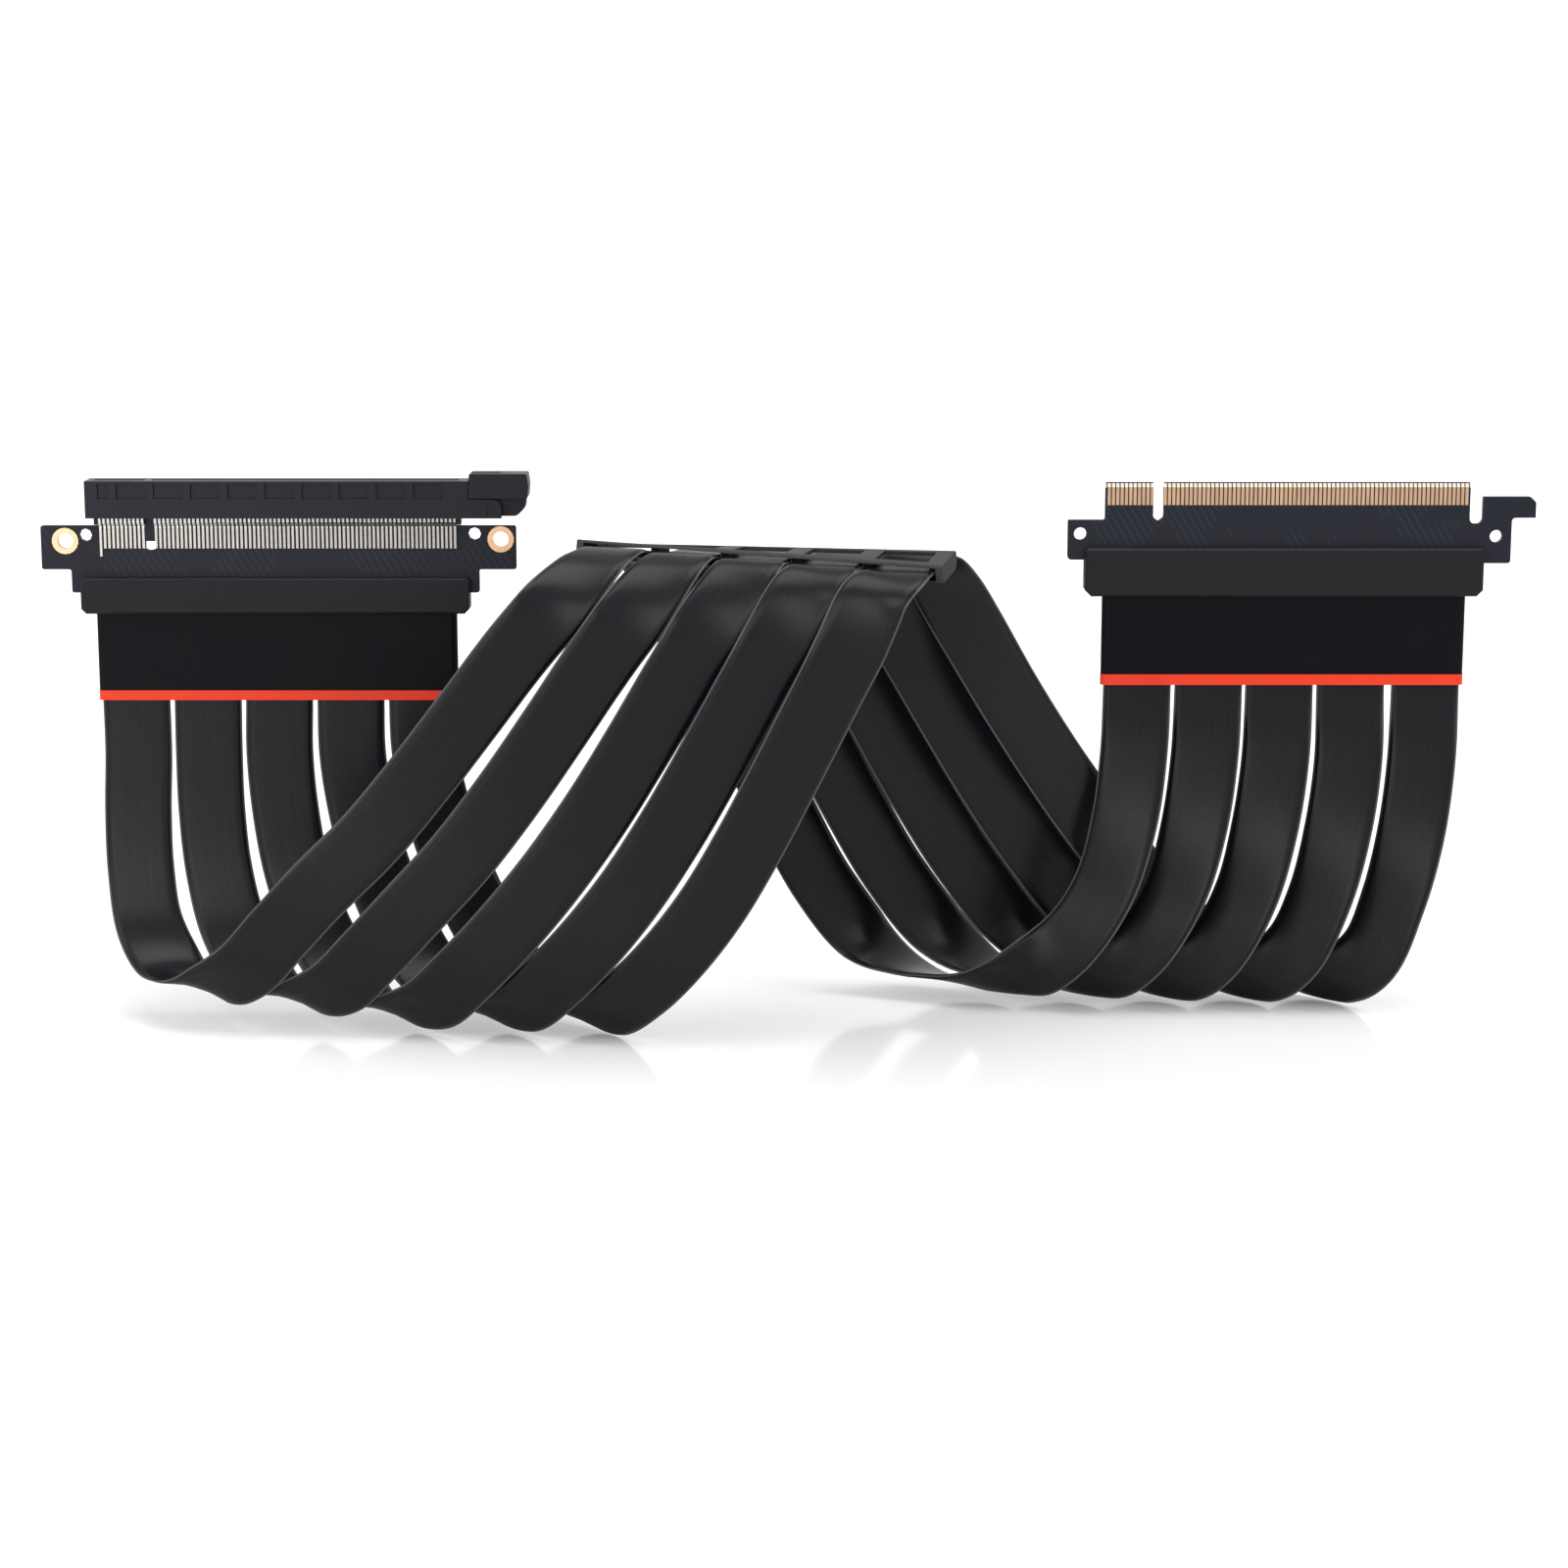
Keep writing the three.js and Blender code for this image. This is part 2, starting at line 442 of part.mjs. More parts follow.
function strand(i) {
  const w = STRAND_WIDTH / 2, t = STRAND_THICK / 2, e = 0.65, f = 0.25;
  const section = new THREE.Shape([[-f, -w], [f, -w], [t, -w + e], [t, w - e], [f, w], [-f, w], [-t, w - e],
    [-t, -w + e]].map(([x, y]) => new THREE.Vector2(x, y)));
  const curve = new StrandCurve(strandRoute(i), false, "centripetal");
  curve.arcLengthDivisions = 800;
  return new THREE.ExtrudeGeometry(section, { steps: STRAND_STEPS, extrudePath: curve });
}

// comb: a bar with a slot for each strand and a window over each slot, twisted along its line
function cableComb() {
  const { pitch, depth, slot, upper, lower, endWall, sideAir, window: wide, windowDepth, nose } = COMB;
  const { leadIn, leadSide, leadHeight } = COMB;
  const opening = STRAND_WIDTH + 2 * sideAir;
  const half = 2 * pitch + opening / 2 + endWall, d = depth / 2, top = slot + upper, bottom = -slot - lower;
  let body = bar([[-d, bottom + nose * 0.5], [-d + nose * 0.5, bottom], [d - nose, bottom], [d, bottom + nose],
    [d, top - nose * 0.5], [d - nose * 0.5, top], [-d + nose * 0.3, top], [-d, top - nose * 0.3]], -half, half);
  const tools = [];
  for (let i = 0; i < 5; i++) {
    const u = (i - 2) * pitch;
    tools.push(box(u - opening / 2, u + opening / 2, -d - 1, d + 1, -slot, slot));
    const mouth = opening / 2 + leadSide, lip = slot + leadHeight;
    tools.push(box(u - mouth, u + mouth, -d - 1, leadIn, -lip, lip));
    tools.push(box(u - wide / 2, u + wide / 2, -windowDepth / 2, windowDepth / 2, 0, top + 1));
  }
  const geometry = geometryOf(cut(body, tools));
  const place = geometry.getAttribute("position");
  const centre = new THREE.Vector3(...COMB.centre);
  for (let k = 0; k < place.count; k++) {
    const u = place.getX(k), deep = combDepth(u / (2 * pitch));
    const up = new THREE.Vector3().crossVectors(combLine, deep);
    const p = centre.clone().addScaledVector(combLine, u).addScaledVector(deep, place.getY(k))
      .addScaledVector(up, place.getZ(k));
    place.setXYZ(k, p.x, p.y, p.z);
  }
  geometry.computeVertexNormals();
  return geometry;
}

// assembly
const BLACK = 0x17171a, BOARD_BLUE = 0x25272e, STRAND_GREY = 0x242328, RED = 0xe8402c, COPPER = 0xb9804f;

const fSleeveFoot = F_COVER.bottom - F_SLEEVE, mSleeveFoot = M_COVER.bottom - M_SLEEVE;

place("female_board", femaleBoard(), BOARD_BLUE, FEMALE_Y);
place("plated_ring_left", platedRing(F_RINGS[0]), COPPER, FEMALE_Y, 0.35, 0.9);
place("plated_ring_right", platedRing(F_RINGS[1]), COPPER, FEMALE_Y, 0.35, 0.9);
place("slot_housing", slotHousing(), BLACK, FEMALE_Y);
place("slot_latch", slotLatch(), BLACK, FEMALE_Y);
place("female_cover_front", femaleCover(true), BLACK, FEMALE_Y);
place("female_cover_back", femaleCover(false), BLACK, FEMALE_Y);
place("female_sleeve", band(F_STRANDS, fSleeveFoot, F_COVER.bottom, 0), BLACK, FEMALE_Y);
place("female_stripe", band(F_STRANDS, fSleeveFoot - F_STRIPE, fSleeveFoot, STRIPE_PROUD), RED, FEMALE_Y);
place("male_board", maleBoard(), BOARD_BLUE, MALE_Y);
place("male_cover_front", maleCover(true), BLACK, MALE_Y);
place("male_cover_back", maleCover(false), BLACK, MALE_Y);
place("male_sleeve", band(M_STRANDS, mSleeveFoot, M_COVER.bottom, 0), BLACK, MALE_Y);
place("male_stripe", band(M_STRANDS, mSleeveFoot - M_STRIPE, mSleeveFoot, STRIPE_PROUD), RED, MALE_Y);
for (let i = 0; i < 5; i++) place("strand_" + (i + 1), strand(i), STRAND_GREY);
place("cable_comb", cableComb(), BLACK);

export default root;
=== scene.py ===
# %% [markdown]
# # A riser cable, dressed for its picture
# A riser cable has a slot on a small board at one end, a card edge at the other, and flat shielded strands
# between them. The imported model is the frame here: each rigid piece keeps its shape and gets a finish. Only the
# five strands are made again, because a ribbon that turns over needs finer steps than a collision solid has.

# %% Load the frame
import math
import bpy
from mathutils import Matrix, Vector


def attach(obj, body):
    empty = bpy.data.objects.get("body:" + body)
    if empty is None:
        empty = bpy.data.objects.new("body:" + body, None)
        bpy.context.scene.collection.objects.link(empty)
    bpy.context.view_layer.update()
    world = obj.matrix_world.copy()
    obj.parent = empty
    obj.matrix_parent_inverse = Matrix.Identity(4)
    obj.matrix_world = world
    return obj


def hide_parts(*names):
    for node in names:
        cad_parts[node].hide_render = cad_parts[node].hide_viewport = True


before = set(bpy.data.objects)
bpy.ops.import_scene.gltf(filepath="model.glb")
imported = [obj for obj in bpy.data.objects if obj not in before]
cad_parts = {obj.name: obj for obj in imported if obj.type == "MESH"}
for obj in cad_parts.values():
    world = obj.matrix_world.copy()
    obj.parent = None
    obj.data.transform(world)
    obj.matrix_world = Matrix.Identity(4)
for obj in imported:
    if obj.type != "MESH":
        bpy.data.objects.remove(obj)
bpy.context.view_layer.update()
MM = 0.001
ORIGIN = Vector((0.575, 16.41, 0.09))  # what is added to sketch millimetres to reach the row's frame

# %% [markdown]
# ## Camera
# The cable was photographed from a little above, with hardly any perspective. A long lens at 800 mm gives that.
# The camera could be aimed with a constraint, but a plain rotation is enough, because it looks straight along Y.

# %% Camera
DISTANCE, ELEVATION = 800, math.radians(11)
LENS, SENSOR, NEAREST = 77.5, 36, 0.01
target = (Vector((-0.8, 0, 55)) + ORIGIN) * MM
camera = bpy.data.objects.new("camera", bpy.data.cameras.new("camera"))
camera.data.lens, camera.data.sensor_width, camera.data.clip_start = LENS, SENSOR, NEAREST
camera.location = target + DISTANCE * MM * Vector((0, -math.cos(ELEVATION), math.sin(ELEVATION)))
camera.rotation_euler = (math.pi / 2 - ELEVATION, 0, 0)
bpy.context.scene.collection.objects.link(camera)
bpy.context.scene.camera = camera
bpy.context.scene.view_settings.view_transform = "Standard"
print("camera at", tuple(round(v, 3) for v in camera.location))

# %% [markdown]
# ## The strands' route
# Each strand drops out of the slot's sleeve, turns forward under itself, climbs to the comb, and then mirrors
# that on the way to the card edge. The route is a list of given points, in millimetres. Only strands 1,
# 3 and 5 have lists: the two between them lie half way, so all five stay side by side when a point is moved.

# %% Sizes and points of the route
WIDTH, THICK, PITCH = 15.9, 1.4, 16.9
FEMALE_X, FEMALE_Y, MALE_Y = -120.2, 3.0, -3.0
MALE_X = [82.05, 98.8, 115.4, 132.1, 149.65]
FEMALE_Z, MALE_Z = (100.1, 76), (79, 104.4)
DOWN = [
    [(-154, 3, 62), (-154.5, 2.5, 48), (-154, 0.5, 34), (-151.5, -4, 21.5), (-145, -11, 13),
     (-136, -19.5, 10.5), (-126, -26.5, 16), (-117, -30, 26), (-107, -32.5, 37), (-95, -34, 49),
     (-83, -35.5, 63.5), (-71.5, -37, 78.5), (-60.5, -38, 93), (-51, -37.5, 104), (-43.7, -32.2, 111.6)],
    [(-120.5, 3, 62), (-119.5, 2.5, 48.5), (-117, 1, 34.5), (-112, -3.5, 21.5), (-104, -11, 10.5),
     (-94, -20, 5.5), (-83.5, -28, 8), (-74.5, -33, 16.5), (-64.5, -36, 27.5), (-54, -38, 40.5),
     (-43.5, -39.5, 55.5), (-34, -41.5, 71), (-25, -43.5, 86.5), (-17.5, -44.5, 99), (-11, -41.5, 108.8)],
    [(-86, 3, 62), (-83.5, 3, 49), (-79, 1.5, 35.5), (-72.5, -2.5, 22.5), (-64, -9.5, 11.5),
     (-54.5, -18, 5.5), (-44, -27.5, 5.5), (-35, -34, 12.5), (-26, -38.5, 22.5), (-17, -41.5, 35),
     (-8.5, -44, 50), (-0.5, -47, 66), (7, -50, 81.5), (13.5, -52.5, 95), (19, -52.7, 106.8)],
]
UP = [
    [(-31, -6, 107.5), (-26.5, -1, 98.5), (-20, 3, 86), (-11, 8, 68.5), (-1, 13.5, 46), (9, 17.5, 26.5),
     (20, 18.5, 12.5), (32, 14.5, 6), (45, 7, 5), (57, -1, 9.5), (67, -4.5, 18), (75, -5.5, 31),
     (79.5, -5, 47), (81.5, -4, 63)],
    [(0, -17, 110.5), (4.5, -10.5, 102.5), (11.5, -5.5, 90.5), (21, 0, 72.5), (32, 6, 52), (43.5, 12, 33),
     (55.5, 15, 17.5), (68.5, 14, 8), (82, 8, 4.5), (93.5, 1, 7.5), (102, -4, 16), (108.5, -5.5, 29),
     (112.5, -5.5, 45), (114.8, -4.5, 62)],
    [(31.5, -27.5, 112), (36, -21.5, 105), (43, -16, 93), (52.5, -9.5, 76.5), (64.5, -2.5, 57.5),
     (78, 5.5, 38.5), (91.5, 11.5, 22), (105, 13, 10.5), (118.5, 9.5, 4.5), (130.5, 2, 6.5),
     (138.5, -3.5, 14), (143.5, -5.5, 28), (147, -6, 44), (149, -5, 61)],
]
print("hand-chosen points:", sum(len(points) for points in DOWN + UP))

# %% [markdown]
# ## The comb's slots, and the way a strand faces
# A flat strand has to be told which way its width points. Blender's own curve tilt would do it in degrees, but
# here it is easier to say a direction at a few stations: across the boards at both ends, along the comb in the
# middle, and leaning back at the feet, so that each strand tucks behind the next as real ones do.

# %% Comb and width directions
COMB_CENTRE, COMB_PITCH, COMB_TWIST = Vector((-5.3, -30, 112.4)), 16.85, (-9.0, 10.5)
TURN = math.radians(20)
COMB_STATIONS = (-9, -3.5, 3, 8.5)
COMB_LINE = Vector((math.cos(TURN), -math.sin(TURN), 0))
GUIDE = [
    (0, (1, 0, 0)), (3.5, (1, 0, 0)), (8, (0.95, -0.05, -0.36)), (10.5, (0.95, -0.05, -0.36)),
    (13.4, (1, 0.02, -0.02)), (14.3, (1, 0.02, 0)), (16.6, COMB_LINE), (20, COMB_LINE), (24, (0.92, 0.36, 0)),
    (28.5, (0.93, 0.3, -0.25)), (31.5, (0.8, -0.5, -0.4)), (34, (1, -0.2, 0)), (35, (1, 0, 0)), (36, (1, 0, 0)),
]


def comb_depth(along):
    """Direction through the comb, where along goes from -1 at its left end to 1 at its right."""
    pitch = math.radians(COMB_TWIST[0] + (COMB_TWIST[1] - COMB_TWIST[0]) * (along + 1) / 2)
    return Vector((math.sin(TURN) * math.cos(pitch), math.cos(TURN) * math.cos(pitch), math.sin(pitch)))


def between(lists, i):
    """Strand i's points, half way between its neighbours' where i is odd."""
    return [(Vector(a) + Vector(b)) / 2 for a, b in zip(lists[i // 2], lists[(i + 1) // 2])]


def route(i):
    """All points of strand i, from inside the slot's sleeve to inside the card edge's."""
    x = FEMALE_X + (i - 2) * PITCH
    middle = COMB_CENTRE + (i - 2) * COMB_PITCH * COMB_LINE
    points = [Vector((x, FEMALE_Y, z)) for z in FEMALE_Z] + between(DOWN, i)
    points += [middle + s * comb_depth((i - 2) / 2) for s in COMB_STATIONS]
    return points + between(UP, i) + [Vector((MALE_X[i], MALE_Y, z)) for z in MALE_Z]


def guide_at(station):
    """The width's direction at a station, eased from one entry of GUIDE to the next."""
    for (s0, g0), (s1, g1) in zip(GUIDE, GUIDE[1:]):
        if station <= s1:
            t = (station - s0) / (s1 - s0)
            t = t * t * (3 - 2 * t)
            return Vector(g0).normalized().lerp(Vector(g1).normalized(), t).normalized()
    return Vector(GUIDE[-1][1])


print("points on each route:", [len(route(i)) for i in range(5)])

# %% [markdown]
# ## A smooth line through the points
# A Bezier curve object needs handles at every point. A centripetal spline passes through the points by itself
# and never loops or overshoots where they stand unevenly, so the ribbon is built along one.

# %% Smooth line
STEPS = 9  # between two points of the route


def smooth_line(points):
    """Centripetal curve through the points: (station, place, direction) along it."""
    ends = [2 * points[0] - points[1]] + points + [2 * points[-1] - points[-2]]
    line = []
    for k in range(len(points) - 1):
        p0, p1, p2, p3 = ends[k:k + 4]
        d0, d1, d2 = ((b - a).length ** 0.5 for a, b in ((p0, p1), (p1, p2), (p2, p3)))
        m1 = ((p1 - p0) / d0 - (p2 - p0) / (d0 + d1) + (p2 - p1) / d1) * d1
        m2 = ((p2 - p1) / d1 - (p3 - p1) / (d1 + d2) + (p3 - p2) / d2) * d1
        c2, c3 = -3 * p1 + 3 * p2 - 2 * m1 - m2, 2 * p1 - 2 * p2 + m1 + m2
        last = k == len(points) - 2
        for j in range(STEPS + (1 if last else 0)):
            t = j / STEPS
            ahead = (m1 + 2 * c2 * t + 3 * c3 * t * t).normalized()
            line.append((k + t, p1 + m1 * t + c2 * t * t + c3 * t ** 3, ahead))
    return line


print("places along strand 3:", len(smooth_line(route(2))))

# %% [markdown]
# ## The strands' section
# The wires lie in a thin shield that is welded to a fine rim along both edges. The section has that rim, then a
# rounded shoulder, then the flat. A bevelled box would catch the light as a hard line, which the real one lacks.

# %% Section
RIM = 0.16
SHOULDER = [(0, RIM * 0.5), (0.12, RIM), (0.45, RIM * 1.1)]  # in from the edge, half thickness


def section():
    """Half widths and half thicknesses round the flat strand."""
    w, t = WIDTH / 2, THICK / 2
    side = [(-w + a, b) for a, b in SHOULDER]
    side += [(-w + 0.75, t * 0.72), (-w + 1.3, t * 0.95), (-w + 2.4, t), (-w / 3, t)]
    top = side + [(-a, b) for a, b in reversed(side)]
    return top + [(a, -b) for a, b in reversed(top)]


PROFILE = section()
print("corners in the section:", len(PROFILE))

# %% [markdown]
# ## One strand as a mesh
# The section is set down at every step of the line and the rings are joined with quads. A UV layer keeps, in
# metres, how far along and how far across each corner is. The finish uses it for marks that follow the strand.

# %% Ribbon
def ribbon(name, points):
    verts, faces, uvs = [], [], []
    line, n = smooth_line(points), len(PROFILE)
    run, before = 0.0, line[0][1]
    for station, place, ahead in line:
        run, before = run + (place - before).length, place
        guide = guide_at(station)
        across = (guide - guide.dot(ahead) * ahead).normalized()
        outward = across.cross(ahead)
        for a, b in PROFILE:
            verts.append((place + a * across + b * outward + ORIGIN) * MM)
            uvs.append((run * MM, a * MM))
    for k in range(len(line) - 1):
        for j in range(n):
            a, b = k * n + j, k * n + (j + 1) % n
            faces.append((a, b, b + n, a + n))
    faces += [tuple(reversed(range(n))), tuple(range(len(verts) - n, len(verts)))]
    mesh = bpy.data.meshes.new(name)
    mesh.from_pydata(verts, [], faces)
    layer = mesh.uv_layers.new(name="run")
    for loop in mesh.loops:
        layer.data[loop.index].uv = uvs[loop.vertex_index]
    for poly in mesh.polygons:
        poly.use_smooth = True
    mesh.update()
    obj = bpy.data.objects.new(name, mesh)
    bpy.context.scene.collection.objects.link(obj)
    return obj, [tuple((p + ORIGIN) * MM) for _, p, _ in line], run * MM


# %% [markdown]
# ## Five strands
# Each skin stands for one solid of the frame and rides on the cable, and the length of its own line is
# printed. The photograph shows every strand from one sleeve to the other.

# %% Strands
strands = []
for i in range(5):
    obj, path, length = ribbon(f"strand_{i + 1}_skin", route(i))
    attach(obj, "cable")
    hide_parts(f"strand_{i + 1}")
    strands.append(obj)
    print(obj.name, "is", round(length, 3), "m long")

# %% [markdown]
# ## Grain, for every moulded piece and both boards
# Moulded plastic has a fine grain and, over some centimetres, a slight cloudiness in its gloss. Both come from
# two noises, and several finishes use them, so they are a node group with the two scales as its inputs.

# %% Grain group
def grain_group():
    tree = bpy.data.node_groups.new("moulded_grain", "ShaderNodeTree")
    tree.interface.new_socket(name="Vector", in_out="INPUT", socket_type="NodeSocketVector")
    for name in ("Fine Scale", "Cloud Scale"):
        tree.interface.new_socket(name=name, in_out="INPUT", socket_type="NodeSocketFloat")
    for name in ("Fine", "Cloud"):
        tree.interface.new_socket(name=name, in_out="OUTPUT", socket_type="NodeSocketFloat")
    given, result = tree.nodes.new("NodeGroupInput"), tree.nodes.new("NodeGroupOutput")
    for name, detail in (("Fine", 2.0), ("Cloud", 3.0)):
        noise = tree.nodes.new("ShaderNodeTexNoise")
        noise.inputs["Detail"].default_value = detail
        noise.inputs["Roughness"].default_value = 0.55
        tree.links.new(given.outputs["Vector"], noise.inputs["Vector"])
        tree.links.new(given.outputs[name + " Scale"], noise.inputs["Scale"])
        tree.links.new(noise.outputs[0], result.inputs[name])
    return tree


GRAIN = grain_group()
print("node group", GRAIN.name, "with", len(GRAIN.nodes), "nodes")

# %% [markdown]
# ## Short words for nodes
# Wiring nodes by hand takes many lines that say little. This small class holds one finish's tree and gives each
# kind of node used below a short name. Every finish is one Principled shader with masks that feed it.

# %% Finish helper
class Finish:
    def __init__(self, name, **sockets):
        self.material = bpy.data.materials.new(name)
        self.material.use_nodes = True
        self.nodes, self.links = self.material.node_tree.nodes, self.material.node_tree.links
        self.shader = self.nodes["Principled BSDF"]
        for key, value in sockets.items():
            self.shader.inputs[key.replace("_", " ")].default_value = value

    def put(self, value, socket):
        if isinstance(value, bpy.types.NodeSocket):
            self.links.new(value, socket)
        else:
            socket.default_value = value

    def node(self, kind, inputs=(), **settings):
        made = self.nodes.new(kind)
        for key, value in settings.items():
            setattr(made, key, value)
        for key, value in dict(inputs).items():
            self.put(value, made.inputs[key])
        return made

    def math(self, operation, a, b=0.0):
        return self.node("ShaderNodeMath", {0: a, 1: b}, operation=operation).outputs[0]

    def mix(self, mask, a, b):
        """Colour a, and b where the mask is 1."""
        return self.node("ShaderNodeMix", {"Factor": mask, 6: a, 7: b}, data_type="RGBA").outputs[2]

    def blend(self, mask, a, b):
        """Number a, and b where the mask is 1."""
        return self.node("ShaderNodeMix", {0: mask, 2: a, 3: b}, data_type="FLOAT").outputs[0]

    def place(self):
        """Where a point is on the object, in metres: as a vector, and as x, y and z."""
        where = self.node("ShaderNodeTexCoord").outputs["Object"]
        return where, self.node("ShaderNodeSeparateXYZ", {0: where}).outputs

    def grain(self, vector, fine, cloud):
        made = self.node("ShaderNodeGroup", node_tree=GRAIN)
        for key, value in (("Vector", vector), ("Fine Scale", fine), ("Cloud Scale", cloud)):
            self.put(value, made.inputs[key])
        return made.outputs["Fine"], made.outputs["Cloud"]

    def noise(self, vector, scale, detail=3.0, rough=0.55):
        return self.node("ShaderNodeTexNoise", {"Vector": vector, "Scale": scale, "Detail": detail,
                                                "Roughness": rough}).outputs[0]

    def stretch(self, vector, scale):
        return self.node("ShaderNodeMapping", {"Vector": vector, "Scale": scale}).outputs[0]

    def over(self, value, low):
        return self.math("GREATER_THAN", value, low)

    def under(self, value, high):
        return self.math("LESS_THAN", value, high)

    def both(self, a, b):
        return self.math("MULTIPLY", a, b)

    def band(self, value, low, high):
        return self.both(self.over(value, low), self.under(value, high))

    def ramp(self, value, low, high, a, b):
        return self.node("ShaderNodeMapRange", {0: value, 1: low, 2: high, 3: a, 4: b}).outputs[0]

    def bump(self, height, strength, distance):
        made = self.node("ShaderNodeBump", {"Height": height, "Strength": strength, "Distance": distance})
        self.put(made.outputs[0], self.shader.inputs["Normal"])

    def colour(self, value):
        self.put(value, self.shader.inputs["Base Color"])

    def rough(self, value):
        self.put(value, self.shader.inputs["Roughness"])

    def metal(self, value):
        self.put(value, self.shader.inputs["Metallic"])

    def now(self, socket):
        """What already feeds a socket of the shader."""
        return self.shader.inputs[socket].links[0].from_socket


# %% [markdown]
# ## The strands' skin
# The shield is a near-black film, drawn lengthwise: broad soft lights with fine lines in them. A brushed metal
# would get these from anisotropy. Here a noise drawn out along the strand changes colour, gloss and height
# together, which stays on the strand in other light too. Both edges get a painted highlight, a paler grey band.

# %% Strand skin
BRUSHED, WAVY = (25, 3400, 1), (30, 300, 1)  # changes a metre: along, across
# painted highlight along both edges of each strand: its width in from the edge, and (two lines down) its grey
EDGE_HIGHLIGHT_WIDTH = 0.4
SKIN_DARK, SKIN_LIGHT = (0.0012, 0.0009, 0.0018, 1), (0.0098, 0.0084, 0.012, 1)
EDGE_HIGHLIGHT_GREY = (0.07, 0.068, 0.074, 1)


def strand_skin():
    f = Finish("strand_skin", Specular_IOR_Level=0.18)
    uv = f.node("ShaderNodeUVMap", uv_map="run").outputs[0]
    across = f.math("ABSOLUTE", f.node("ShaderNodeSeparateXYZ", {0: uv}).outputs[1])
    lines = f.noise(f.stretch(uv, BRUSHED), 1.0, 4.0, 0.75)
    waves = f.noise(f.stretch(uv, WAVY), 1.0, 2.0)
    # painted highlight: a paler grey band along both edges of each strand
    edge_highlight = f.over(across, (WIDTH / 2 - EDGE_HIGHLIGHT_WIDTH) * MM)
    f.colour(f.mix(edge_highlight, f.mix(lines, SKIN_DARK, SKIN_LIGHT), EDGE_HIGHLIGHT_GREY))
    f.rough(f.math("ADD", f.ramp(lines, 0.3, 0.7, 0.2, 0.32), f.both(waves, 0.06)))
    f.bump(f.math("ADD", lines, f.both(waves, 2.0)), 0.25, 0.06 * MM)
    return f.material


skin = strand_skin()
for obj in strands:
    obj.data.materials.append(skin)
print("skin on", len(strands), "strands")

# %% [markdown]
# ## Moulded plastic
# Covers, sleeves, stripes, comb, slot and latch are all moulded or wrapped plastic. They differ in colour, gloss
# and how coarse their grain is, so one function makes them from a few numbers. The sleeves are the blackest.

# %% Plastic
CLOUD = 60  # changes a metre


def plastic(name, colour, rough, grain, depth, strength, gloss=0.17):
    f = Finish(name, Specular_IOR_Level=gloss)
    vector, _ = f.place()
    fine, cloudy = f.grain(vector, grain, CLOUD)
    f.colour(f.mix(cloudy, tuple(c * 0.85 for c in colour) + (1,), tuple(c * 1.2 for c in colour) + (1,)))
    f.rough(f.ramp(cloudy, 0.3, 0.7, rough - 0.04, rough + 0.05))
    f.bump(fine, strength, depth * MM)
    return f


cover = plastic("cover_grain", (0.0085, 0.0083, 0.0105), 0.5, 2200, 0.06, 0.5).material
sleeve = plastic("sleeve_skin", (0.0022, 0.0018, 0.0036), 0.44, 3500, 0.03, 0.25, gloss=0.09).material
comb = plastic("comb_grain", (0.035, 0.035, 0.038), 0.5, 1400, 0.09, 0.7).material
latch = plastic("latch_moulding", (0.0105, 0.0115, 0.0155), 0.4, 3000, 0.03, 0.25).material
stripe = plastic("stripe_red", (0.72, 0.045, 0.018), 0.42, 2500, 0.02, 0.2).material
print("plastics:", [material.name for material in (cover, sleeve, comb, latch, stripe)])

# %% [markdown]
# ## Boards
# Both boards are dark blue-black solder mask over copper, and the copper shows through as faint slanting lines.
# A mask from the place on the object draws them where a slow noise allows. On the card edge the plated contacts
# stand proud of the mask, so depth from the board's middle finds them; the bevel above them has a painted
# highlight.

# %% Board finish
def up(height):
    """A height in the sketch, in the row's metres."""
    return (height + ORIGIN.z) * MM


FEMALE_MIDDLE, MALE_MIDDLE = (FEMALE_Y + ORIGIN.y) * MM, (MALE_Y + ORIGIN.y) * MM
MASK_FROM, PROUD_FROM = 0.79 * MM, 0.83 * MM  # from the board's middle
TRACE_PITCH, TRACE_WIDE, TRACE_SLANT = 0.9 * MM, 0.28 * MM, 0.6
FIRST_FINGER, FINGER_HALF_PITCH, FINGER_HALF = (74.65 + ORIGIN.x) * MM, 0.5 * MM, 0.36 * MM
FINGERS_FROM, HIGHLIT_BEVEL_Z = up(121.4), (up(125.78), up(126.75))
MASK_DARK, MASK_TRACE = (0.0105, 0.012, 0.0185, 1), (0.03, 0.034, 0.046, 1)
MASK_CLOUD, CUT_EDGE = (0.0145, 0.0155, 0.022, 1), (0.024, 0.025, 0.028, 1)
# the last colour is a painted highlight on the bevel, much paler than the plating
PLATING, PLATING_WORN, BEVEL_PAINTED_HIGHLIGHT = (0.5, 0.3, 0.18, 1), (0.7, 0.47, 0.31, 1), (0.9, 0.78, 0.64, 1)


